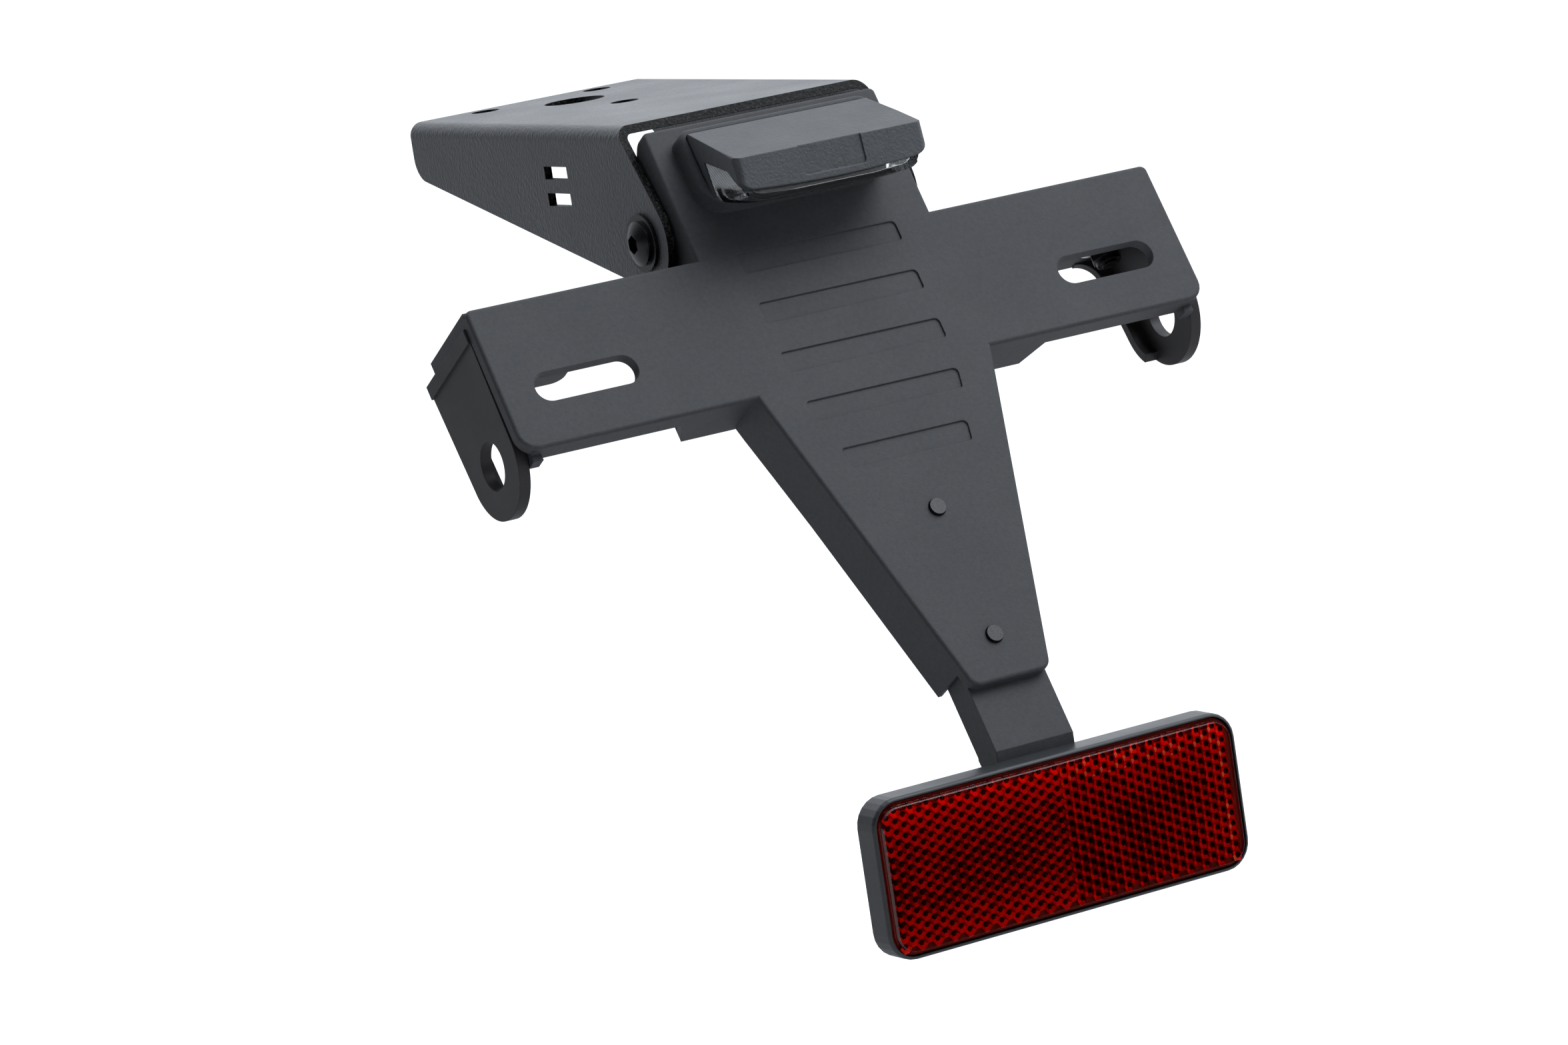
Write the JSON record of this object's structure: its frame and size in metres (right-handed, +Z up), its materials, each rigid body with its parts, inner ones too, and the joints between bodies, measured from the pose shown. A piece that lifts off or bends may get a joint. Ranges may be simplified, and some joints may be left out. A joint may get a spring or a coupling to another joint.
{
  "type": "motorbike tail tidy",
  "caption": "Tail tidy for a motorbike: folded steel bracket carrying a tilting plate holder with plate light, signal brackets and a red rear reflector on a strap.",
  "frame": {"origin": "centre of the cable hole, on the upper face of the top plate", "axes": "+Z up, -Y to the rear of the bike, +X to the right as seen from behind"},
  "size_m": [0.1852, 0.2076, 0.1846],
  "materials": {
    "powder_coat": "fine pebbled black powder coat",
    "moulded_black": "matt charcoal grain",
    "hood_black": "satin black with fine grain",
    "bracket_black": "smooth satin black",
    "black_steel": "black-plated steel",
    "zinc": "bright zinc plate",
    "clear_lens": "clear moulded plastic",
    "board": "white solder mask",
    "lamp": "yellow phosphor",
    "housing_black": "semi-gloss black",
    "red_lens": "red reflex lens"
  },
  "bodies": {
    "bracket": {"top_bracket": "powder_coat"},
    "holder": {"plate_holder": "moulded_black", "pivot_bolt_left": "black_steel", "pivot_bolt_right": "black_steel", "pivot_nut_left": "zinc", "pivot_nut_right": "zinc", "light_base": "moulded_black", "light_hood": "hood_black", "light_lens": "clear_lens", "light_board": "board", "light_leds": "lamp", "light_screw_left": "black_steel", "light_screw_right": "black_steel", "signal_bracket_left": "bracket_black", "signal_bracket_right": "bracket_black", "signal_bolt_left": "black_steel", "signal_bolt_right": "black_steel", "signal_washer_left": "zinc", "signal_washer_right": "zinc", "signal_nut_left": "black_steel", "signal_nut_right": "black_steel", "reflector_strap": "moulded_black", "strap_screw_upper": "black_steel", "strap_screw_lower": "black_steel", "reflector_housing": "housing_black", "reflector_lens": "red_lens", "reflector_stud": "zinc", "reflector_washer": "zinc", "reflector_nut": "zinc"}
  },
  "joints": [
    {"name": "plate_tilt", "type": "hinge", "parent": "bracket", "child": "holder", "pos_m": [0, -0.09, -0.0269], "axis": [1, 0, 0], "range_deg": [-6, 30]}
  ]
}
